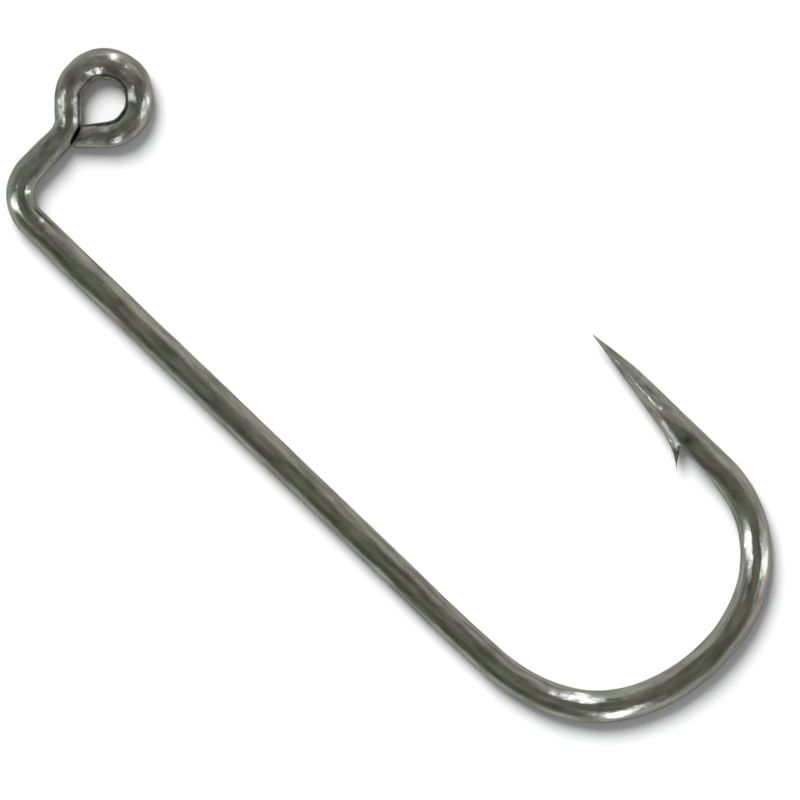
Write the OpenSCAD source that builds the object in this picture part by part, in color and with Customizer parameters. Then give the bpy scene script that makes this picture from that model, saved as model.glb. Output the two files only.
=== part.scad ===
// Barbed jig hook: one round steel wire, bent in a single plane, with a ring
// eye that stands beside the shank on a short neck.
// The hook lies flat in XY with the middle of the wire at Z = 0. The origin is
// the centre of the eye, +X runs along the shank towards the bend, and the
// point is on the +Y side. Each zone of the wire is one node, and neighbouring
// zones meet face to face on a cross-section.

/* [Wire] */
// Diameter of the wire in the shank, the bends and the front
wire_d = 1.25; // [1.15:0.05:1.35]
// Diameter of the wire around the eye, after the neck's taper
eye_wire_d = 1.10; // [1.00:0.05:1.15]
// Diameter of the wire at the cut end of the eye
eye_end_d = 0.94; // [0.85:0.01:1.00]

/* [Eye] */
// Radius of the eye, to the middle of the wire
eye_r = 1.42; // [1.35:0.01:1.60]
// Angle that the wire turns through around the eye
eye_turn = 267; // [264:1:270]
// Gap between the cut end of the eye and the neck that it closes against
eye_gap = 0.05; // [0.03:0.01:0.10]

/* [Neck] */
// Angle of the neck's sideways offset below the eye
offset_turn = 43.8; // [42:0.1:46]
// Radius of that offset, to the middle of the wire
offset_r = 1.07; // [1.00:0.01:1.15]
// Straight run between the offset and the eye
lead_len = 0.80; // [0.70:0.05:0.95]
// Straight tapered run between the jig bend and the offset
neck_len = 1.70; // [1.40:0.05:3.00]

/* [Shank] */
// Angle that the jig bend turns the wire through, from the shank to the neck
jig_turn = 90; // [60:1:90]
// Radius of the jig bend, to the middle of the wire
jig_r = 1.50; // [1.20:0.05:2.00]
// Straight length of the shank
shank_len = 25.04; // [20:0.02:32]

/* [Bend] */
// Radius of the long first arc of the bend, to the middle of the wire
bend_r = 6.30; // [5.50:0.05:7.50]
// Angle of the first arc; the second one brings the wire parallel to the shank
bend_turn = 120.7; // [110:0.1:130]
// Radius of the second arc, to the middle of the wire
throat_r = 4.71; // [4.20:0.01:5.20]

/* [Point] */
// Straight length from the end of the bend to the tip
front_len = 7.25; // [6.50:0.05:8.50]
// Half angle of the needle's cone
cone_half = 8.65; // [8.30:0.05:9.00]
// Lean of the cone's axis against the wire
cone_lean = 1.85; // [1.50:0.05:2.20]
// Distance of the tip from the middle of the wire, on the outer side
tip_rise = 0.37; // [0.33:0.01:0.40]

/* [Barb] */
// Distance from the end of the bend to the notch under the barb
notch_at = 1.57; // [1.50:0.01:1.80]
// Depth of the notch below the surface of the wire
notch_depth = 0.25; // [0.20:0.01:0.30]
// Length of the shallow cut that runs from the notch towards the bend
cut_len = 1.45; // [1.20:0.01:1.45]
// Length of the barb's root, from the notch to the spear
root_len = 0.52; // [0.45:0.01:0.60]
// Length of the barb along its front edge
barb_len = 1.12; // [0.85:0.01:1.20]
// Angle that the barb stands up from the wire
barb_rake = 33; // [30:1:38]
// Thickness of the barb half way along
barb_thick = 0.19; // [0.15:0.01:0.22]

/* [Hidden] */
$fn = 64;

// Dark smoky nickel, and the same plating over ground and cut steel
plating = [0.35, 0.35, 0.31];
ground_plating = [0.42, 0.42, 0.39];
wire_r = wire_d / 2;
eye_wire_r = eye_wire_d / 2;
// Radius left on the needle's tip
tip_r = 0.02;
// Distance that a cutting shape runs past the wire
overcut = 1;

// Unit vector at angle a.
function dir(a) = [cos(a), sin(a)];
// Steps from the start of an arc with heading h, radius r and turn t, where a
// positive turn is to the left: to the arc's centre, and to its end.
function to_centre(h, r, t) = sign(t) * r * dir(h + 90);
function to_end(h, r, t) = to_centre(h, r, t) - to_centre(h + t, r, t);

// From the eye's centre back along the wire to the heel, where the shank starts.
neck_heading = 180 - jig_turn;
eye_heading = neck_heading + offset_turn;
end_heading = eye_heading - eye_turn;
lead_end = -to_centre(eye_heading, eye_r, -eye_turn);
offset_end = lead_end - lead_len * dir(eye_heading);
neck_end = offset_end - to_end(neck_heading, offset_r, offset_turn);
jig_end = neck_end - neck_len * dir(neck_heading);
heel = jig_end - to_end(180, jig_r, -jig_turn);

// From the heel along the shank and around the bend.
shank_end = heel + [shank_len, 0];
throat_start = shank_end + to_end(0, bend_r, bend_turn);
bend_end = throat_start + to_end(bend_turn, throat_r, 180 - bend_turn);

// The cut end of the eye stops at a plane that faces the middle of the offset.
ring_end = -to_centre(end_heading, eye_r, -eye_turn);
offset_centre = neck_end + to_centre(neck_heading, offset_r, offset_turn);
cut_facing = neck_heading - 90 + offset_turn / 2;
cut_spot = offset_centre + (offset_r + eye_wire_r + eye_gap) * dir(cut_facing);
end_len = (cut_spot - ring_end) * dir(cut_facing) / (dir(end_heading) * dir(cut_facing));

// Along the front, x is the distance from the end of the bend towards the tip.
tip = [front_len, tip_rise];
root_x = notch_at + root_len;
root = [root_x, max(-wire_r, tip_rise - (front_len - root_x) * tan(cone_half + cone_lean))];
notch = [notch_at, notch_depth - wire_r];
barb_along = dir(180 + barb_rake);
barb_across = dir(90 + barb_rake);
barb_tip = root + barb_len * barb_along;
barb_back = root + barb_len / 2 * barb_along + barb_thick * barb_across;
// Roundness of the barb's front side, which was part of the wire's surface
barb_round_r = 0.8 * wire_r;

// Straight wire from p on heading h, which may taper from d1 to d2.
module straight(p, h, len, d1, d2) {
    translate([p.x, p.y, 0]) rotate([0, 0, h]) rotate([0, 90, 0])
        cylinder(h = len, d1 = d1, d2 = d2);
}

// Bent wire from p on heading h, turning by t degrees on radius r.
module bent(p, h, r, t, d) {
    c = p + to_centre(h, r, t);
    start = t > 0 ? h - 90 : h + 90 + t;
    translate([c.x, c.y, 0]) rotate([0, 0, start])
        rotate_extrude(angle = abs(t)) translate([r, 0]) circle(d = d);
}

// Places its children in the front's own frame.
module on_front() {
    translate([bend_end.x, bend_end.y, 0]) mirror([1, 0, 0]) children();
}

// A flat outline in the hook's plane, cut through the whole wire.
module through_wire(outline) {
    linear_extrude(height = 2 * wire_d, center = true) polygon(outline);
}

// The steel that the barb's chisel cut has taken off the inner side.
module chisel_cut() {
    through_wire([root, notch, [notch_at - cut_len, -wire_r],
                  [notch_at - cut_len, -wire_r - overcut], [root_x, -wire_r - overcut]]);
}

module eye_ring() {
    color(plating) bent(lead_end, eye_heading, eye_r, -eye_turn, eye_wire_d);
}

module eye_end() {
    uncut_len = end_len + overcut / 2;
    uncut_d = eye_wire_d + (eye_end_d - eye_wire_d) * uncut_len / end_len;
    color(ground_plating) difference() {
        straight(ring_end, end_heading, uncut_len, eye_wire_d, uncut_d);
        translate([cut_spot.x, cut_spot.y, 0]) rotate([0, 0, cut_facing])
            translate([-overcut, 0, 0]) cube(2 * [overcut, wire_d, wire_d], center = true);
    }
}

module eye_lead() {
    color(plating) straight(offset_end, eye_heading, lead_len, eye_wire_d, eye_wire_d);
}

module eye_offset() {
    color(plating) bent(neck_end, neck_heading, offset_r, offset_turn, eye_wire_d);
}

module neck() {
    color(plating) straight(jig_end, neck_heading, neck_len, wire_d, eye_wire_d);
}

module jig_bend() {
    color(plating) bent(heel, 180, jig_r, -jig_turn, wire_d);
}

module shank() {
    color(plating) straight(heel, 0, shank_len, wire_d, wire_d);
}

module rear_bend() {
    color(plating) bent(shank_end, 0, bend_r, bend_turn, wire_d);
}

module front_bend() {
    color(plating) bent(throat_start, bend_turn, throat_r, 180 - bend_turn, wire_d);
}

module front() {
    color(plating) on_front() difference() {
        straight([0, 0], 0, notch_at, wire_d, wire_d);
        chisel_cut();
    }
}

module spear_point() {
    cone_len = front_len - notch_at + overcut;
    color(ground_plating) on_front() difference() {
        intersection() {
            straight([notch_at, 0], 0, front_len - notch_at, wire_d, wire_d);
            straight(tip, 180 + cone_lean, cone_len,
                     2 * tip_r, 2 * (tip_r + cone_len * tan(cone_half)));
        }
        chisel_cut();
    }
}

module barb() {
    axis_start = root + barb_round_r * barb_across - overcut * barb_along;
    color(ground_plating) on_front() intersection() {
        through_wire([root, barb_tip, barb_back, notch]);
        straight(axis_start, 180 + barb_rake, barb_len + 2 * overcut,
                 2 * barb_round_r, 2 * barb_round_r);
    }
}

eye_ring();
eye_end();
eye_lead();
eye_offset();
neck();
jig_bend();
shank();
rear_bend();
front_bend();
front();
spear_point();
barb();
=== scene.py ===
"""A barbed jig hook of plated steel wire, lying flat on a pale table, seen from above.

The hook is one wire. It is swept here as one surface along the route that the CAD zones
follow, and then cut into one closed piece per zone, so that each piece stands for its own
CAD node and no seam shows between neighbours. The barb is a blade of its own.
Sizes are in metres unless a comment says millimetres. The mesh attribute "straight" gives
each point's place on the wire pulled straight, in millimetres, for grain that follows it.
"""

import math

import bpy
import numpy as np
from mathutils import Matrix, Vector, noise


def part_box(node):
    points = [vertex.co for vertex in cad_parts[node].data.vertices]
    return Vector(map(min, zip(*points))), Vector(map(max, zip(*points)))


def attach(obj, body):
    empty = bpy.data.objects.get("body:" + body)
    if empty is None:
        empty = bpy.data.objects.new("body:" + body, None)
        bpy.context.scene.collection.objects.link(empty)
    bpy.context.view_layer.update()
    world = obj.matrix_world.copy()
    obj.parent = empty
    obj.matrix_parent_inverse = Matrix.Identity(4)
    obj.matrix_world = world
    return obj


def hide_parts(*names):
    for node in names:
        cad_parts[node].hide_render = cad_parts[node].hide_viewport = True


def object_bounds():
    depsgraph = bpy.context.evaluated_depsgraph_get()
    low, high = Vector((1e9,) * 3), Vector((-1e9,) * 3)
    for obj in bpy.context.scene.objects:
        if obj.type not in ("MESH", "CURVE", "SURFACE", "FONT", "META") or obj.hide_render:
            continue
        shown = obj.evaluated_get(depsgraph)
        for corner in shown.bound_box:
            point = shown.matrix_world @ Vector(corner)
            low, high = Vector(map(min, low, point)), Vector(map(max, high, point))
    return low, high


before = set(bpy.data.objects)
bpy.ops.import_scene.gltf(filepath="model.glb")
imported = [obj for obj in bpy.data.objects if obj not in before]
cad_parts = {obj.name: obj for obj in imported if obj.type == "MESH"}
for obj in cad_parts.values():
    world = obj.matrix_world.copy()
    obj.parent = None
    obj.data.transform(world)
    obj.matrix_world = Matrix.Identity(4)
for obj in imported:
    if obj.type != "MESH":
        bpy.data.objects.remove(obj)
cad_low, cad_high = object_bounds()

# ---------------------------------------------------------------- the design's sizes

MM = 0.001
FULL_TURN = 2 * math.pi
QUARTER_TURN = math.pi / 2


def low(node):
    """Lowest corner of a CAD node's box."""
    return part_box(node)[0]


def high(node):
    """Highest corner of a CAD node's box."""
    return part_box(node)[1]


# Read from the CAD zones
WIRE_R = high("shank").z
EYE_WIRE_R = high("eye_ring").z
SHANK_LEN = high("shank").x - low("shank").x
NECK_LEN = high("neck").y - low("neck").y
JIG_R = high("jig_bend").x - low("jig_bend").x - WIRE_R
EYE_R = -low("eye_ring").x - EYE_WIRE_R
SHANK_Y = (low("shank").y + high("shank").y) / 2
FRONT_Y = high("front").y - WIRE_R
BEND_END_X = high("front").x
BEND_R = high("rear_bend").x - high("shank").x - WIRE_R
FRONT_LEN = BEND_END_X - low("front").x
SPEAR_LEN = low("front").x - low("spear_point").x

# The throat's radius and the first arc's angle follow from where the two arcs have to end.
bend_reach = BEND_END_X - high("shank").x
bend_spare = 2 * BEND_R - (FRONT_Y - SHANK_Y)
radius_step = (bend_reach ** 2 + bend_spare ** 2) / (2 * bend_spare)
THROAT_R = BEND_R - radius_step
BEND_TURN = math.atan2(bend_reach, bend_spare - radius_step)

# Driving dimensions that the boxes don't give, as in the CAD source
EYE_TURN = math.radians(267)
OFFSET_TURN = math.radians(43.8)
OFFSET_R = 1.07 * MM
LEAD_LEN = 0.80 * MM
CONE_HALF = math.radians(8.65)
CONE_LEAN = math.radians(1.85)
TIP_RISE = 0.37 * MM
NOTCH_DEPTH = 0.25 * MM
ROOT_LEN = 0.52 * MM
BARB_LEN = 1.12 * MM
BARB_RAKE = math.radians(33)

# Three that differ from the CAD source. The cut end of the eye comes closer to the neck, as
# both are thinner here, the chisel's cut runs out more gently, and the tip is finer.
EYE_GAP = -0.025 * MM
CUT_LEN = 2.20 * MM
TIP_R = 0.015 * MM

# Points in one ring round the wire, and how far every surface stays inside the CAD model's box
RING_POINTS = 96
SKIN = 0.001 * MM


# ---------------------------------------------------------------- the wire's route


def towards(angle):
    """Unit vector in the hook's plane, at this angle from +X."""
    return np.array([math.cos(angle), math.sin(angle)])


class Zone:
    """One stretch of the wire, from its start along a heading: straight, or turning left by
    turn (right if turn is negative) on a radius. Its rings of points lie about a step apart."""

    def __init__(self, node, start, heading, step, length=0.0, radius=0.0, turn=0.0):
        self.node = node
        self.start = start
        self.heading = heading
        self.radius = radius
        self.turn = turn
        self.length = length or radius * abs(turn)
        self.rows = max(2, round(self.length / step)) + 1

    def centre(self):
        """Centre of the arc."""
        side = math.copysign(self.radius, self.turn)
        return self.start + side * towards(self.heading + QUARTER_TURN)

    def at(self, along):
        """Middle of the wire and its heading, this far along the zone."""
        if not self.turn:
            return self.start + along * towards(self.heading), self.heading
        heading = self.heading + self.turn * along / self.length
        side = math.copysign(self.radius, self.turn)
        return self.centre() - side * towards(heading + QUARTER_TURN), heading

    def end(self):
        return self.at(self.length)


def next_zone(zones, node, step, **shape):
    """Adds a zone that starts where the last one ends."""
    point, heading = zones[-1].end()
    zones.append(Zone(node, point, heading, step, **shape))


def wire_zones():
    """The wire's zones, from the cut end of the eye to the tip of the point, and how far the
    cut leans from square to the wire."""
    ring_heading = QUARTER_TURN + OFFSET_TURN - EYE_TURN + math.pi
    ring_start = -EYE_R * towards(ring_heading + QUARTER_TURN)
    zones = [Zone("eye_ring", ring_start, ring_heading, 0.06 * MM, radius=EYE_R, turn=EYE_TURN)]
    next_zone(zones, "eye_lead", 0.05 * MM, length=LEAD_LEN)
    next_zone(zones, "eye_offset", 0.05 * MM, radius=OFFSET_R, turn=-OFFSET_TURN)
    offset = zones[-1]
    next_zone(zones, "neck", 0.06 * MM, length=NECK_LEN)
    next_zone(zones, "jig_bend", 0.05 * MM, radius=JIG_R, turn=QUARTER_TURN)
    next_zone(zones, "shank", 0.09 * MM, length=SHANK_LEN)
    next_zone(zones, "rear_bend", 0.08 * MM, radius=BEND_R, turn=BEND_TURN)
    next_zone(zones, "front_bend", 0.07 * MM, radius=THROAT_R, turn=math.pi - BEND_TURN)
    next_zone(zones, "front", 0.03 * MM, length=FRONT_LEN)
    next_zone(zones, "spear_point", 0.03 * MM, length=SPEAR_LEN)

    # The cut end of the eye lies behind the ring's start, as far as a plane that faces the
    # middle of the neck's offset.
    facing = OFFSET_TURN / 2
    spot = offset.centre() + (OFFSET_R + EYE_WIRE_R + EYE_GAP) * towards(facing)
    square_on = np.dot(towards(ring_heading), towards(facing))
    reach = np.dot(ring_start - spot, towards(facing)) / square_on
    end_start = ring_start - reach * towards(ring_heading)
    zones.insert(0, Zone("eye_end", end_start, ring_heading, 0.04 * MM, length=reach))
    return zones, ring_heading - facing


# How far the wire's two sides stand from its route, at a share of a zone's length: (zone,
# share, left side, right side), in millimetres. The eye was hammered into shape, so its wire
# is uneven, and thinner towards the cut end and the neck than over the top. The bend was
# forged, and stands proud on its outer side, which is the right.
WIRE_SIDES = (
    ("eye_end", 0.0, 0.43, 0.44),
    ("eye_ring", 0.0, 0.50, 0.51),
    ("eye_ring", 0.2, 0.58, 0.56),
    ("eye_ring", 0.3, 0.57, 0.54),
    ("eye_ring", 0.6, 0.61, 0.63),
    ("eye_ring", 0.8, 0.60, 0.60),
    ("eye_lead", 0.5, 0.54, 0.54),
    ("eye_offset", 0.5, 0.52, 0.52),
    ("neck", 0.5, 0.55, 0.57),
    ("jig_bend", 0.5, 0.54, 0.57),
    ("shank", 0.0, 0.62, 0.59),
    ("shank", 0.1, 0.61, 0.61),
    ("rear_bend", 0.0, 0.61, 0.60),
    ("rear_bend", 0.2, 0.60, 0.68),
    ("rear_bend", 0.4, 0.60, 0.70),
    ("rear_bend", 0.6, 0.60, 0.68),
    ("rear_bend", 0.75, 0.60, 0.65),
    ("rear_bend", 1.0, 0.58, 0.69),
    ("front_bend", 0.4, 0.59, 0.67),
    ("front_bend", 0.8, 0.62, 0.62),
    ("spear_point", 1.0, 0.61, 0.62),
)
# The sides run smoothly from one station to the next: how far each way they are averaged,
# and over how many spots
SIDES_BLEND = 0.35 * MM
BLEND_SPOTS = 9

# The rear of the bend was rolled in a few steps, and wanders from a true arc: how far, over
# which pitch, where it is furthest past the start of the bend, and how soon it fades out
WANDER = 0.085 * MM
WANDER_PITCH = 8.9 * MM
WANDER_AT = 4.9 * MM
WANDER_REACH = 6.0 * MM


def smoothed(x, xs, ys, reach):
    """Value at x on the line through these stations, averaged over a reach to each side so
    that its corners are rounded off."""
    spread = np.linspace(-1, 1, BLEND_SPOTS)
    weights = np.cos(spread * QUARTER_TURN) ** 2
    return float(np.dot(weights, np.interp(x + spread * reach, xs, ys)) / weights.sum())


class WireShape:
    """Thickness and wander of the wire along its whole route."""

    def __init__(self, zones):
        starts = {}
        lengths = {}
        travelled = 0.0
        for zone in zones:
            starts[zone.node] = travelled
            lengths[zone.node] = zone.length
            travelled += zone.length
        self.at = [starts[node] + share * lengths[node] for node, share, _, _ in WIRE_SIDES]
        self.left = [left * MM for _, _, left, _ in WIRE_SIDES]
        self.right = [right * MM for _, _, _, right in WIRE_SIDES]
        self.wander_middle = starts["rear_bend"] + WANDER_AT

    def sides(self, along):
        """Reach of the wire's left and right sides from its route."""
        left = smoothed(along, self.at, self.left, SIDES_BLEND)
        right = smoothed(along, self.at, self.right, SIDES_BLEND)
        return left, right

    def wander(self, along):
        """How far to the left of its route the wire runs."""
        past = along - self.wander_middle
        fade = math.exp(-(past / WANDER_REACH) ** 2)
        return -WANDER * fade * math.cos(FULL_TURN * past / WANDER_PITCH)


# ---------------------------------------------------------------- the ground point

# The needle is ground with two flats on its upper side, and the same two below: the way each
# faces, measured from straight towards the shank, and how close it comes to the cone's middle
FLATS = ((math.radians(40), 0.90), (math.radians(112), 0.70))
SOFTNESS = 34     # the higher, the crisper the edges between the wire, the cone and the cuts
GRAZING = 1e-6    # least cosine used where a plane is seen edge on or from behind


def cut_limit(past_bend, radius):
    """How far the inner side reaches from the middle of the wire, where the barb's chisel has
    passed. past_bend is the distance from the end of the bend towards the tip."""
    floor = radius - NOTCH_DEPTH
    if past_bend <= FRONT_LEN:
        return floor + NOTCH_DEPTH * (FRONT_LEN - past_bend) / CUT_LEN
    root_at = FRONT_LEN + ROOT_LEN
    root = cone_centre(root_at) + cone_radius(root_at)
    return floor + (root - floor) * (past_bend - FRONT_LEN) / ROOT_LEN


def cone_radius(past_bend):
    """Radius of the needle's cone."""
    to_tip = FRONT_LEN + SPEAR_LEN - past_bend
    return TIP_R + to_tip * math.tan(CONE_HALF)


def cone_centre(past_bend):
    """Middle of the needle's cone, measured towards the shank from the middle of the wire."""
    to_tip = FRONT_LEN + SPEAR_LEN - past_bend
    return to_tip * math.tan(CONE_LEAN) - TIP_RISE


def point_section(past_bend, middle, radius, around):
    """Cross-section where the wire, the needle's cone and flats and the chisel's cut all limit
    it. Returns its middle, and its reach from there at each angle around."""
    cone_r = cone_radius(past_bend)
    cone_mid = cone_centre(past_bend)
    limit = cut_limit(past_bend, middle + radius)
    inner = min(middle + radius, cone_mid + cone_r, limit)
    outer = max(middle - radius, cone_mid - cone_r)
    centre = (inner + outer) / 2
    total = np.zeros(len(around))
    for circle, r in ((middle, radius), (cone_mid, cone_r)):
        shift = (centre - circle) * np.cos(around)
        reach = np.sqrt(shift ** 2 + r ** 2 - (centre - circle) ** 2) - shift
        total += reach ** -SOFTNESS
    planes = [(0.0, limit - centre)]
    for facing, depth in FLATS:
        distance = depth * cone_r + (cone_mid - centre) * math.cos(facing)
        planes += [(facing, distance), (-facing, distance)]
    for facing, distance in planes:
        seen = np.maximum(np.cos(around - facing), GRAZING)
        total += (distance / seen) ** -SOFTNESS
    return centre, total ** (-1 / SOFTNESS)


# ---------------------------------------------------------------- sweeping the wire

AROUND = np.arange(RING_POINTS) * FULL_TURN / RING_POINTS

# The point's own cross-section starts a little before the chisel's cut, this far past the bend
POINT_FROM = FRONT_LEN - 1.2 * CUT_LEN

# The eye's cut face, from its middle out to its rounded rim: (share of the ring that it is,
# depth inside the cut in millimetres)
CUT_FACE = ((0.02, 0.035), (0.45, 0.004), (0.80, 0.0), (0.93, 0.008), (0.985, 0.028))
# The needle's rounded tip: (share of the last ring, distance out as a share of the tip's radius)
TIP_NOSE = ((0.85, 0.5), (0.55, 0.85), (0.1, 1.0))

# Least product of two edges that a normal is divided by, for patches and for fan triangles
LEAST_PATCH = 1e-12
LEAST_TRIANGLE = 1e-15


def wire_section(shape, here, past_bend):
    """Cross-section of the wire: its middle, measured to the left of the route, its reach from
    there at each angle around, and the share of its height that forging has left it."""
    left, right = shape.sides(here)
    middle = (left - right) / 2
    radius = (left + right) / 2
    reach = np.full(RING_POINTS, radius)
    # Where forging made the wire wider than it was drawn, it is flatter by as much.
    squash = min(1.0, (WIRE_R / radius) ** 2)
    if past_bend > POINT_FROM:
        middle, reach = point_section(past_bend, middle, radius, AROUND)
    return middle, reach, squash


def ring_at(point, heading, middle, reach, squash):
    """One ring of points across the wire. Angle 0 is on the left of the heading."""
    left = towards(heading + QUARTER_TURN)
    aside = middle + reach * np.cos(AROUND)
    flat = point + aside[:, None] * left
    return np.column_stack([flat, squash * reach * np.sin(AROUND)])


def straightened(along, middle, reach):
    """The same ring on the wire pulled straight, in millimetres."""
    aside = middle + reach * np.cos(AROUND)
    up = reach * np.sin(AROUND)
    return np.column_stack([np.full(RING_POINTS, along), aside, up]) / MM


def sweep_wire(zones, cut_lean):
    """Rings for the whole wire: their points, their points on the straightened wire, and each
    zone's first and last ring."""
    shape = WireShape(zones)
    bend_end_at = sum(z.length for z in zones if z.node not in ("front", "spear_point"))
    rings = []
    straight = []
    spans = {}
    travelled = 0.0
    for zone in zones:
        distances = np.linspace(0, zone.length, zone.rows)
        if rings:
            distances = distances[1:]    # a zone shares its first ring with its neighbour
        first = max(0, len(rings) - 1)
        for along in distances:
            here = travelled + along
            middle, reach, squash = wire_section(shape, here, here - bend_end_at)
            point, heading = zone.at(along)
            ring = ring_at(point, heading, middle + shape.wander(here), reach, squash)
            if zone.node == "eye_end":
                # The end was cut at a slant, so its rings fan out from the cut to the ring eye.
                lean = math.tan(cut_lean) * (1 - along / zone.length)
                ring[:, :2] += (reach * np.cos(AROUND) * lean)[:, None] * towards(heading)
            rings.append(ring)
            straight.append(straightened(here, middle, reach))
        spans[zone.node] = [first, len(rings) - 1]
        travelled += zone.length
    return np.array(rings), np.array(straight), spans


def shrunk(ring, share, shift):
    """A copy of a ring, drawn in towards its middle and shifted."""
    middle = ring.mean(axis=0)
    return middle + (ring - middle) * share + shift


def close_cut_end(rings, straight, spans):
    """Replaces the first ring by the rings of the eye's cut face."""
    forward = rings[1].mean(axis=0) - rings[0].mean(axis=0)
    forward /= np.linalg.norm(forward)
    face = [shrunk(rings[0], share, forward * depth * MM) for share, depth in CUT_FACE]
    face_straight = [straight[0] * [1, share, share] for share, _ in CUT_FACE]
    rings = np.concatenate([face, rings[1:]])
    straight = np.concatenate([face_straight, straight[1:]])
    added = len(CUT_FACE) - 1
    spans = {node: [first + added, last + added] for node, (first, last) in spans.items()}
    spans["eye_end"][0] = 0
    return rings, straight, spans


def close_tip(rings, straight, spans):
    """Rounds the needle's tip over."""
    forward = np.array([-1.0, 0.0, 0.0])
    nose = [shrunk(rings[-1], share, forward * depth * TIP_R) for share, depth in TIP_NOSE]
    rings = np.concatenate([rings, nose])
    straight = np.concatenate([straight, [straight[-1]] * len(TIP_NOSE)])
    spans["spear_point"][1] += len(TIP_NOSE)
    return rings, straight, spans


def surface_normals(rings):
    """Outward normals of the swept surface."""
    across = np.roll(rings, -1, axis=1) - np.roll(rings, 1, axis=1)
    forward = np.gradient(rings, axis=0)
    normals = np.cross(across, forward)
    return normals / np.maximum(np.linalg.norm(normals, axis=2, keepdims=True), LEAST_PATCH)


# ---------------------------------------------------------------- the uneven surface

# The eye's wire is hammered up to here along the straightened wire, and the hammering fades
# out over the last stretch of it, in millimetres
HAMMERED_TO = 12.0
HAMMERED_FADE = 2.0

# Layers of unevenness: height in millimetres, repeats per millimetre along the wire and
# across it, and shifts that pick another part of the pattern
DRAWN_RELIEF = (0.014, 0.7, 2.2, 0.0, 0.0)
FINE_RELIEF = (0.006, 1.9, 4.5, 40.0, 0.0)
HAMMERED_RELIEF = (0.045, 1.3, 1.5, 0.0, 20.0)

INSET = 0.004         # the uneven surface lies this far in on average, in millimetres
TRUE_BELOW = 0.5      # where the wire's reach is less, in millimetres, it is less uneven
LEAST_UNEVEN = 0.05   # share of the unevenness that is left at the very tip


def relief(place, height, along, across, shift_along, shift_across):
    """Height of one layer of unevenness at a place on the straight wire."""
    x, y, z = place
    spot = Vector((x * along + shift_along, y * across + shift_across, z * across))
    return height * noise.noise(spot)


def unevenness(place, hammered):
    """Height of the drawn and forged surface, in millimetres, at a place on the straight wire."""
    drawn = relief(place, *DRAWN_RELIEF) + relief(place, *FINE_RELIEF)
    return drawn + hammered * relief(place, *HAMMERED_RELIEF)


def roughen(rings, straight):
    """Moves each point in or out by the wire's slight unevenness, and by more at the eye, which
    was hammered to shape. The needle's thin end stays true."""
    normals = surface_normals(rings)
    hammered = np.clip((HAMMERED_TO - straight[:, :, 0]) / HAMMERED_FADE, 0, 1)
    height = np.array([[unevenness(place, share) for place, share in zip(ring, shares)]
                       for ring, shares in zip(straight, hammered)])
    reach = np.linalg.norm(straight[:, :, 1:], axis=2).max(axis=1)
    height *= np.clip(reach / TRUE_BELOW, LEAST_UNEVEN, 1)[:, None]
    rough = rings + normals * (height[:, :, None] - INSET) * MM
    return np.clip(rough, np.array(cad_low) + SKIN, np.array(cad_high) - SKIN)


# ---------------------------------------------------------------- painted highlights and shade on the film

# Where the shank starts, on its inner side
KNEE_END = np.array([low("shank").x, high("shank").y])


def needle_mark(past_notch, share, radius, strength):
    """A painted spot on the needle, this far past the notch, in millimetres. Its share of the cone's
    radius counts from the cone's middle towards the shank."""
    past_bend = FRONT_LEN + past_notch * MM
    towards_shank = cone_centre(past_bend) + share * cone_radius(past_bend)
    return np.array([BEND_END_X - past_bend, FRONT_Y - towards_shank]), radius * MM, strength


def knee_mark(along, aside, radius, strength):
    """A painted spot near the knee, at this place from the end of its inner side, in millimetres."""
    return KNEE_END + np.array([along, aside]) * MM, radius * MM, strength


# Small painted spots: (place in the hook's plane, radius, strength). One with a positive strength
# is a painted highlight in a bright steel colour, and one with a negative strength is painted dark.
PAINTED_SPOTS = [
    needle_mark(0.26, 0.83, 0.12, 1.3),     # painted highlight at the barb's root
    needle_mark(0.08, 0.30, 0.16, -0.9),    # painted shade in the crease behind it
    # painted highlights on the needle's ridge
    needle_mark(1.74, 0.21, 0.06, 0.7),
    needle_mark(2.37, 0.34, 0.06, 0.5),
    # a painted highlight near the knee, and a dark spot beside it
    knee_mark(0.25, -0.30, 0.08, 0.9),
    knee_mark(0.47, -0.47, 0.12, -0.7),
]
# Painted highlights along the edge between the needle's flats, strongest towards the barb
PAINTED_SPOTS += [needle_mark(0.45 + 0.12 * i, 0.72 - 0.01 * i, 0.07, 0.45) for i in range(8)]
PAINTED_SPOTS += [needle_mark(1.90 + 0.15 * i, 0.38, 0.05, 0.22) for i in range(17)]


def painted_spots_at(points):
    """How strongly each of these points is painted: bright for a painted highlight, dark for painted
    shade. The underside is not painted.
    """
    total = np.zeros(len(points))
    for place, radius, strength in PAINTED_SPOTS:
        away = np.linalg.norm(points[:, :2] - place, axis=1)
        total += strength * np.exp(-(away / radius) ** 2) * (points[:, 2] > 0)
    return total


# ---------------------------------------------------------------- meshes


def new_piece(name, points, faces, normals, straight):
    """A smooth mesh piece with its grain coordinates and its painted highlights and shade."""
    mesh = bpy.data.meshes.new(name)
    mesh.from_pydata([tuple(p) for p in points], [], faces)
    mesh.validate()
    mesh.polygons.foreach_set("use_smooth", [True] * len(mesh.polygons))
    grain = mesh.attributes.new("straight", "FLOAT_VECTOR", "POINT")
    grain.data.foreach_set("vector", np.asarray(straight, np.float32).ravel())
    painted_light = mesh.attributes.new("painted_light", "FLOAT", "POINT")
    painted_light.data.foreach_set("value", painted_spots_at(np.asarray(points)).astype(np.float32))
    mesh.normals_split_custom_set(normals)
    piece = bpy.data.objects.new(name, mesh)
    bpy.context.scene.collection.objects.link(piece)
    return piece


def with_middles(rings):
    """All points of the rings in one list, then the middles of the first and the last ring."""
    return np.concatenate([rings.reshape(-1, 3), [rings[0].mean(axis=0)], [rings[-1].mean(axis=0)]])


def fan_normal(middle, first, second):
    """Unit normal of the triangle between a fan's middle and two neighbours on its rim."""
    normal = np.cross(first - middle, second - middle)
    return normal / max(np.linalg.norm(normal), LEAST_TRIANGLE)


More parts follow.
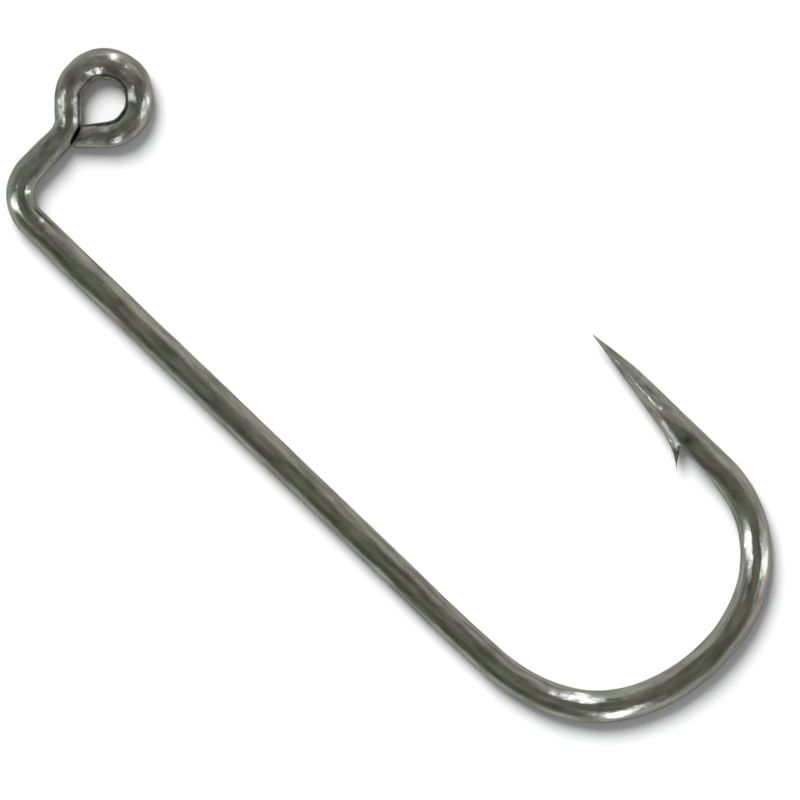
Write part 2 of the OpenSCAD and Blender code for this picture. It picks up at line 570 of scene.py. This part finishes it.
def tube_piece(name, rings, normals, straight):
    """A closed piece: a stretch of rings, with a flat fan at each end."""
    count, around = rings.shape[:2]
    points = with_middles(rings)
    start_middle = count * around
    end_middle = start_middle + 1
    last = (count - 1) * around
    flat_normals = normals.reshape(-1, 3)
    faces = []
    loops = []
    for i in range(count - 1):
        for j in range(around):
            k = (j + 1) % around
            face = (i * around + j, i * around + k, (i + 1) * around + k, (i + 1) * around + j)
            faces.append(face)
            loops.extend(flat_normals[v] for v in face)
    for j in range(around):
        k = (j + 1) % around
        for fan in ((start_middle, k, j), (end_middle, last + j, last + k)):
            faces.append(fan)
            loops.extend([fan_normal(*(points[v] for v in fan))] * 3)
    return new_piece(name, points, faces, [tuple(n) for n in loops], with_middles(straight))


def wire_pieces():
    """One piece for each zone of the wire, on one unbroken surface."""
    zones, cut_lean = wire_zones()
    rings, straight, spans = sweep_wire(zones, cut_lean)
    rings, straight, spans = close_cut_end(rings, straight, spans)
    rings, straight, spans = close_tip(rings, straight, spans)
    rings = roughen(rings, straight)
    normals = surface_normals(rings)
    pieces = {}
    for node, (first, last) in spans.items():
        part = slice(first, last + 1)
        pieces[node] = tube_piece("wire_" + node, rings[part], normals[part], straight[part])
    return pieces


# ---------------------------------------------------------------- the barb

BARB_ROWS = 40
BARB_POINTS = 32
BARB_HALF_WIDTH = 0.36 * MM        # across the hook's plane, where the barb is broadest
BARB_TIP_HALF_WIDTH = 0.018 * MM
BARB_TIP_THICK = 0.012 * MM
BARB_GRAIN_AT = 90 * MM            # keeps its grain apart from the grain of the wire


def bezier(points, t):
    """Point on the curve that these control points give."""
    points = [np.array(p, float) for p in points]
    while len(points) > 1:
        points = [a * (1 - t) + b * t for a, b in zip(points, points[1:])]
    return points[0]


def offset_mm(past_bend, away):
    """A small step, in millimetres: towards the needle's tip, and away from the shank."""
    return np.array([past_bend, away]) * MM


def barb_edges():
    """Control points of the barb's front edge and back edge, from inside the spear to the
    barb's tip. Each counts from the end of the bend, and from the middle of the wire."""
    root_at = FRONT_LEN + ROOT_LEN
    root = np.array([root_at, -(cone_centre(root_at) + cone_radius(root_at))])
    notch = np.array([FRONT_LEN, NOTCH_DEPTH - WIRE_R])
    under = towards(CONE_HALF + CONE_LEAN)
    raised = towards(BARB_RAKE)
    tip = root - BARB_LEN * raised
    front_edge = [
        root + 0.95 * MM * under + offset_mm(0.0, 0.04),
        root + 0.20 * MM * under,
        root - 0.42 * MM * raised + offset_mm(-0.04, 0.10),
        tip,
    ]
    back_edge = [
        notch + offset_mm(0.60, 0.16),
        notch + offset_mm(0.05, 0.06),
        notch + offset_mm(-0.02, -0.30),
        tip + 0.25 * MM * raised + offset_mm(0.0, 0.05),
        tip + BARB_TIP_THICK * towards(BARB_RAKE + QUARTER_TURN),
    ]
    return front_edge, back_edge


def barb_half_width(t):
    """Half the barb's width across the hook's plane, at t from 0 inside the spear to 1 at the
    tip. It swells from a quarter of its width as it leaves the spear, then narrows."""
    swell = min(1.0, 0.25 + 2 * t)
    return BARB_HALF_WIDTH * swell * (1 - t) ** 0.8 + BARB_TIP_HALF_WIDTH


def barb_piece():
    """The barb: a sliver of the wire's surface, raised by the chisel. It starts inside the
    spear, runs flush with its underside and curves out to a sharp tip."""
    front_edge, back_edge = barb_edges()
    turns = np.arange(BARB_POINTS) * FULL_TURN / BARB_POINTS
    # Each section is an oval from the front edge to the back edge, a little squarer than round.
    mix = ((1 - np.cos(turns)) / 2) ** 0.8
    out = np.sign(np.sin(turns)) * np.abs(np.sin(turns)) ** 0.75
    rings = []
    straight = []
    for t in np.linspace(0, 1, BARB_ROWS)[::-1]:
        front = bezier(front_edge, t)
        back = bezier(back_edge, t)
        flat = front + mix[:, None] * (back - front)
        up = barb_half_width(t) * out
        rings.append(np.column_stack([BEND_END_X - flat[:, 0], FRONT_Y + flat[:, 1], up]))
        straight.append(np.column_stack([flat[:, 0] + BARB_GRAIN_AT, flat[:, 1], up]) / MM)
    rings = np.array(rings)
    return tube_piece("barb_blade", rings, surface_normals(rings), np.array(straight))


# ---------------------------------------------------------------- shader nodes


class Nodes:
    """Adds nodes to a material or world, and links them."""

    def __init__(self, owner):
        owner.use_nodes = True
        self.tree = owner.node_tree
        self.tree.nodes.clear()

    def add(self, kind, inputs=None, **settings):
        """A new node. Each input is given a value, or linked to another node's output."""
        node = self.tree.nodes.new(kind)
        for key, value in settings.items():
            setattr(node, key, value)
        for key, value in (inputs or {}).items():
            if isinstance(value, bpy.types.NodeSocket):
                self.tree.links.new(value, node.inputs[key])
            else:
                node.inputs[key].default_value = value
        return node

    def attribute(self, name, output):
        node = self.add("ShaderNodeAttribute", attribute_name=name, attribute_type="GEOMETRY")
        return node.outputs[output]

    def ramp(self, factor, stops):
        """Colour at this factor, between stops of (position, colour)."""
        node = self.add("ShaderNodeValToRGB", {"Fac": factor})
        elements = node.color_ramp.elements
        while len(elements) < len(stops):
            elements.new(0.5)
        for element, (position, colour) in zip(elements, stops):
            element.position = position
            element.color = (*colour, 1)
        return node.outputs["Color"]

    def noise(self, vector, stretch, detail, roughness=0.5, shift=0.0):
        """Noise with this many repeats per unit along the wire and across it. A shift picks
        another part of the pattern."""
        along, across = stretch
        scaled = {0: vector, 1: (along, across, across), 2: (shift, shift, shift)}
        place = self.add("ShaderNodeVectorMath", scaled, operation="MULTIPLY_ADD").outputs[0]
        inputs = {"Vector": place, "Scale": 1.0, "Detail": detail, "Roughness": roughness}
        return self.add("ShaderNodeTexNoise", inputs).outputs["Fac"]

    def multiply(self, first, second):
        return self.add("ShaderNodeMath", {0: first, 1: second}, operation="MULTIPLY").outputs[0]

    def plus(self, first, second):
        return self.add("ShaderNodeMath", {0: first, 1: second}, operation="ADD").outputs[0]

    def dot(self, vector, direction):
        inputs = {0: vector, 1: tuple(direction)}
        return self.add("ShaderNodeVectorMath", inputs, operation="DOT_PRODUCT").outputs["Value"]

    def map(self, value, from_low, from_high, to_low, to_high):
        """The value, moved from one range to another and kept within it."""
        inputs = {"Value": value, "From Min": from_low, "From Max": from_high,
                  "To Min": to_low, "To Max": to_high}
        return self.add("ShaderNodeMapRange", inputs).outputs["Result"]

    def mix(self, factor, first, second):
        """Colour that runs from the first to the second as the factor goes from 0 to 1."""
        node = self.add("ShaderNodeMix", data_type="RGBA")
        colours = [socket for socket in node.inputs if socket.type == "RGBA"]
        for socket, colour in zip(colours, (first, second)):
            if isinstance(colour, bpy.types.NodeSocket):
                self.tree.links.new(colour, socket)
            else:
                socket.default_value = colour
        self.tree.links.new(factor, node.inputs["Factor"])
        return next(socket for socket in node.outputs if socket.type == "RGBA")

    def bump(self, height, micrometres, normal=None):
        """Normal of a surface that stands up this far where the height is 1."""
        inputs = {"Height": height, "Strength": 1.0, "Distance": micrometres * 1e-6}
        if normal is not None:
            inputs["Normal"] = normal
        return self.add("ShaderNodeBump", inputs).outputs["Normal"]


# ---------------------------------------------------------------- the plating

# Patterns of the finish, as repeats per millimetre (along the wire, across it)
HUE_DRIFT = (0.45, 1.5)
SMOKE = (0.75, 3.4)
WAVES = (0.7, 2.8)
MOTTLE = (2.6, 5.0)
PITS = (16.0, 20.0)
HAMMER_BLOWS = (1.9, 2.9)
WAVES_SHIFT = 7.7

# How high each pattern stands, in micrometres
WAVES_HEIGHT = 22.0
MOTTLE_HEIGHT = 9.0
HAMMER_HEIGHT = 34.0
PITS_HEIGHT = 0.15

HAMMERED_ROUGHER = 0.07   # added to the roughness where the wire is hammered

# Colours painted onto the film: a bright steel colour for painted highlights, and a dark one for
# painted shade, as in the crease behind the barb
PAINTED_HIGHLIGHT = (0.86, 0.90, 0.88, 1.0)
PAINTED_CREASE_SHADE = (0.040, 0.058, 0.034, 1.0)
# The smoky film keeps the metal from turning white where it is seen edge on.
EDGE_TINT = (0.57, 0.60, 0.575, 1.0)


def film_colour(n, place, colours, streaks, blows, hammered):
    """Colour of the smoky film. Its hue drifts, and it is cloudier in some places than in others.
    On the hammered eye it is painted darker in the hammer dents, as painted shade. Noise keeps
    mostly between 0.3 and 0.7, which each map here spreads over the range that it is used for."""
    drift = n.noise(place, HUE_DRIFT, 3.0, 0.55)
    smoke = n.noise(place, SMOKE, 4.0, 0.52)
    tint = n.ramp(n.map(drift, 0.32, 0.68, 0.0, 1.0), colours)
    shade = n.map(smoke, 0.34, 0.66, 0.66, 1.24)
    grain = n.map(streaks, 0.3, 0.7, 0.96, 1.04)
    # painted shade: the film is darker where the hammer dents are deeper
    dent_shade = n.multiply(n.map(blows, 0.36, 0.64, 1.0, -0.2), hammered)
    depth = n.multiply(n.multiply(shade, grain), n.map(dent_shade, -1.0, 1.0, 1.28, 0.72))
    inputs = {0: tint, "Scale": depth}
    return n.add("ShaderNodeVectorMath", inputs, operation="SCALE").outputs[0]


def with_painted_light(n, film):
    """The film's colour with its painted shade and its painted highlights."""
    painted_light = n.attribute("painted_light", "Fac")
    crease_shaded = n.mix(n.map(painted_light, -1.0, 0.0, 1.0, 0.0), film, PAINTED_CREASE_SHADE)
    return n.mix(n.map(painted_light, 0.0, 1.0, 0.0, 1.0), crease_shaded, PAINTED_HIGHLIGHT)


def plating_material(name, colours, roughness, streak_stretch, streak_height):
    """Dark smoky nickel over drawn or ground steel. The film's colour drifts between olive,
    grey and a warm brown, and the steel's own streaks show through it."""
    rough_low, rough_high = roughness
    material = bpy.data.materials.new(name)
    n = Nodes(material)
    place = n.attribute("straight", "Vector")
    along = n.add("ShaderNodeSeparateXYZ", {0: place}).outputs["X"]
    hammered = n.map(along, HAMMERED_TO - HAMMERED_FADE, HAMMERED_TO, 1.0, 0.0)
    blows = n.noise(place, HAMMER_BLOWS, 2.0, 0.45)
    streaks = n.noise(place, streak_stretch, 3.0, 0.55)
    waves = n.noise(place, WAVES, 2.0, 0.5, WAVES_SHIFT)
    mottle = n.noise(place, MOTTLE, 2.0, 0.5, WAVES_SHIFT)
    pits = n.noise(place, PITS, 2.0, 0.5)

    film = film_colour(n, place, colours, streaks, blows, hammered)
    sheen = n.map(mottle, 0.3, 0.7, rough_low, rough_high)
    normal = n.bump(waves, WAVES_HEIGHT)
    normal = n.bump(mottle, MOTTLE_HEIGHT, normal)
    normal = n.bump(n.multiply(blows, hammered), HAMMER_HEIGHT, normal)
    normal = n.bump(streaks, streak_height, normal)
    normal = n.bump(pits, PITS_HEIGHT, normal)
    shader = n.add("ShaderNodeBsdfPrincipled", {
        "Base Color": with_painted_light(n, film),
        "Metallic": 1.0,
        "Roughness": n.plus(sheen, n.map(hammered, 0.0, 1.0, 0.0, HAMMERED_ROUGHER)),
        "Specular Tint": EDGE_TINT,
        "Normal": normal,
    })
    n.add("ShaderNodeOutputMaterial", {"Surface": shader.outputs["BSDF"]})
    return material


def wire_material():
    """The drawn wire: long fine streaks."""
    colours = [(0.0, (0.205, 0.219, 0.170)), (0.5, (0.226, 0.225, 0.187)), (1.0, (0.245, 0.226, 0.200))]
    return plating_material("smoky_plated_wire", colours, roughness=(0.16, 0.24),
                            streak_stretch=(0.45, 8.0), streak_height=0.9)


def ground_material():
    """The ground and cut parts: closer and deeper streaks, under a slightly paler film."""
    colours = [(0.0, (0.212, 0.224, 0.180)), (0.5, (0.230, 0.228, 0.192)), (1.0, (0.246, 0.228, 0.203))]
    return plating_material("smoky_plated_ground_steel", colours, roughness=(0.16, 0.26),
                            streak_stretch=(0.8, 11.0), streak_height=3.4)


# ---------------------------------------------------------------- dressing the frame

GROUND_NODES = ("eye_end", "spear_point", "barb")
slot_materials = {"plated_wire": wire_material(), "ground_steel": ground_material()}
pieces = wire_pieces()
pieces["barb"] = barb_piece()
for node, piece in pieces.items():
    slot = "ground_steel" if node in GROUND_NODES else "plated_wire"
    piece.data.materials.append(slot_materials[slot])
    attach(piece, "root")
    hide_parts(node)


# ---------------------------------------------------------------- camera

# The camera looks straight down, turned so that the hook lies corner to corner: this is the
# angle of the shank, measured clockwise from the picture's horizontal.
CAMERA_ROLL = math.radians(43.82)
VIEW_WIDTH = 31.75 * MM
LENS = 400.0
SENSOR = 36.0
# Middle of the picture, from the middle of the eye
AIM = Vector((16.745, -0.48, 0.0)) * MM

UP = Vector((0, 0, 1))
picture_right = Vector((math.cos(CAMERA_ROLL), math.sin(CAMERA_ROLL), 0))
picture_up = Vector((-math.sin(CAMERA_ROLL), math.cos(CAMERA_ROLL), 0))


def add_camera():
    """A camera far above the hook, so that it is seen almost without perspective."""
    data = bpy.data.cameras.new("camera")
    data.lens = LENS
    data.sensor_width = SENSOR
    data.clip_start = 0.005
    data.clip_end = 20.0
    camera = bpy.data.objects.new("camera", data)
    bpy.context.scene.collection.objects.link(camera)
    height = VIEW_WIDTH * LENS / SENSOR
    turn = Matrix((picture_right, picture_up, UP)).transposed()
    camera.matrix_world = Matrix.Translation(AIM + UP * height) @ turn.to_4x4()
    bpy.context.scene.camera = camera


# ---------------------------------------------------------------- lights and room

# All directions and widths of lights are in degrees. A bearing counts anticlockwise from the
# picture's right, and a polar angle from straight overhead.
LIGHT_DISTANCE = 0.8

# The softboxes: (name, bearing, polar angle, width, height, brightness)
SOFTBOXES = (
    ("softbox_left", 187, 56, 12, 68, 6.8),
    ("softbox_right", -5, 67, 9.5, 60, 7.2),
    ("softbox_top", 80, 56, 11, 68, 6.8),
    ("softbox_bottom", -80, 66, 10, 60, 7.2),
)
SOFTBOX_COLOUR = (0.92, 0.96, 1.10)

# The key light, which is wide enough for a soft-edged shadow
KEY_BEARING = 117.5
KEY_POLAR = 39
KEY_WIDTH = 33
KEY_STRENGTH = 3.5

FILL = 0.33             # light from all round on matt things
CEILING_REACH = 0.12    # how much further the dark ceiling reaches on its wide way


def sky_direction(bearing, polar):
    """Unit vector from the hook towards a light."""
    bearing = math.radians(bearing)
    polar = math.radians(polar)
    flat = picture_right * math.cos(bearing) + picture_up * math.sin(bearing)
    return flat * math.sin(polar) + UP * math.cos(polar)


def add_light(name, data, bearing, polar):
    """Puts a light out in this direction, facing the hook."""
    light = bpy.data.objects.new(name, data)
    bpy.context.scene.collection.objects.link(light)
    direction = sky_direction(bearing, polar)
    light.location = AIM + direction * LIGHT_DISTANCE
    light.rotation_mode = "QUATERNION"
    light.rotation_quaternion = direction.to_track_quat("Z", "Y")
    light.visible_camera = False
    return light


def add_softbox(name, bearing, polar, width, height, brightness):
    """A panel that only the metal reflects. Its width and height are as seen from the hook,
    and its brightness doesn't change with its size."""
    data = bpy.data.lights.new(name, "AREA")
    data.shape = "ELLIPSE"
    data.size = 2 * LIGHT_DISTANCE * math.tan(math.radians(width) / 2)
    data.size_y = 2 * LIGHT_DISTANCE * math.tan(math.radians(height) / 2)
    data.energy = brightness * math.pi * math.pi * data.size * data.size_y / 4
    data.color = SOFTBOX_COLOUR
    add_light(name, data, bearing, polar).visible_diffuse = False


def add_key():
    """A wide soft sun from the picture's top, a little to the left, which casts the shadow."""
    key = bpy.data.lights.new("key", "SUN")
    key.angle = math.radians(KEY_WIDTH)
    key.energy = KEY_STRENGTH
    add_light("key", key, KEY_BEARING, KEY_POLAR).visible_glossy = False


def room_colour(n):
    """What the metal reflects: bright walls all round under a darker ceiling."""
    look = n.add("ShaderNodeTexCoord").outputs["Generated"]
    # The ceiling is a dark cap, leaning towards the picture's lower left. It reaches further
    # towards the picture's upper left and lower right.
    overhead = n.dot(look, sky_direction(250, 15.5))
    wide_way = n.dot(look, sky_direction(135, 90))
    reach = n.map(n.multiply(wide_way, wide_way), 0.0, 1.0, 0.0, CEILING_REACH)
    sky = n.ramp(n.plus(overhead, reach), [
        (0.0, (0.92, 0.92, 0.92)),
        (0.36, (0.82, 0.81, 0.79)),
        (0.62, (0.37, 0.36, 0.31)),
        (0.80, (0.29, 0.28, 0.235)),
        (0.94, (0.33, 0.32, 0.27)),
        (1.0, (0.42, 0.40, 0.34)),
    ])
    # The walls are dim and greenish towards the picture's lower left, and least blue towards
    # its upper right.
    aside = n.dot(look, sky_direction(45, 90))
    wall = n.ramp(n.map(aside, -1.0, 1.0, 0.0, 1.0), [
        (0.0, (0.70, 0.79, 0.77)),
        (0.5, (1.20, 1.27, 1.34)),
        (1.0, (1.12, 1.10, 1.10)),
    ])
    return n.add("ShaderNodeVectorMath", {0: sky, 1: wall}, operation="MULTIPLY").outputs[0]


def background(n, colour, strength):
    return n.add("ShaderNodeBackground", {"Color": colour, "Strength": strength}).outputs[0]


def add_room():
    """The metal reflects the room, matt things are lit by a dim even fill, so that the key
    casts a clear shadow, and the camera sees plain white past the floor."""
    world = bpy.data.worlds.new("room")
    bpy.context.scene.world = world
    n = Nodes(world)
    seen_in_metal = background(n, room_colour(n), 1.0)
    fill = background(n, (0.98, 0.99, 1.0, 1.0), FILL)
    plain = background(n, (1.0, 1.0, 1.0, 1.0), 1.0)
    ray = n.add("ShaderNodeLightPath").outputs
    lit = n.add("ShaderNodeMixShader", {0: ray["Is Diffuse Ray"], 1: seen_in_metal, 2: fill})
    mixed = n.add("ShaderNodeMixShader", {0: ray["Is Camera Ray"], 1: lit.outputs[0], 2: plain})
    n.add("ShaderNodeOutputWorld", {"Surface": mixed.outputs[0]})


def light_the_room():
    """Four small softboxes give the glints, the key gives the shadow, and the room the rest."""
    for softbox in SOFTBOXES:
        add_softbox(*softbox)
    add_key()
    add_room()


# ---------------------------------------------------------------- floor

FLOOR_HALF = 3.0
FLOOR_CLEARANCE = 0.002 * MM
FLOOR_CLOUDS = (60.0, 60.0)        # repeats per metre
FLOOR_TOOTH = (4000.0, 4000.0)     # repeats per metre
FLOOR_TOOTH_HEIGHT = 4.0           # in micrometres


def floor_material():
    """Pale matt paper, very slightly cloudy, with a fine tooth."""
    material = bpy.data.materials.new("pale_table")
    n = Nodes(material)
    place = n.add("ShaderNodeTexCoord").outputs["Object"]
    cloud = n.noise(place, FLOOR_CLOUDS, 3.0)
    tooth = n.noise(place, FLOOR_TOOTH, 2.0)
    shader = n.add("ShaderNodeBsdfPrincipled", {
        "Base Color": n.ramp(cloud, [(0.3, (0.900, 0.900, 0.900)), (0.7, (0.912, 0.912, 0.912))]),
        "Roughness": 0.9,
        "Specular IOR Level": 0.1,
        "Normal": n.bump(tooth, FLOOR_TOOTH_HEIGHT),
    })
    n.add("ShaderNodeOutputMaterial", {"Surface": shader.outputs["BSDF"]})
    return material


def add_floor():
    """A pale matt table top, which the hook lies on."""
    level = cad_low.z - FLOOR_CLEARANCE
    sides = ((-1, -1), (1, -1), (1, 1), (-1, 1))
    corners = [(x * FLOOR_HALF, y * FLOOR_HALF, level) for x, y in sides]
    mesh = bpy.data.meshes.new("table_top")
    mesh.from_pydata(corners, [], [(0, 1, 2, 3)])
    mesh.materials.append(floor_material())
    floor = bpy.data.objects.new("table_top", mesh)
    bpy.context.scene.collection.objects.link(floor)


add_camera()
light_the_room()
add_floor()
bpy.context.scene.view_settings.view_transform = "Standard"
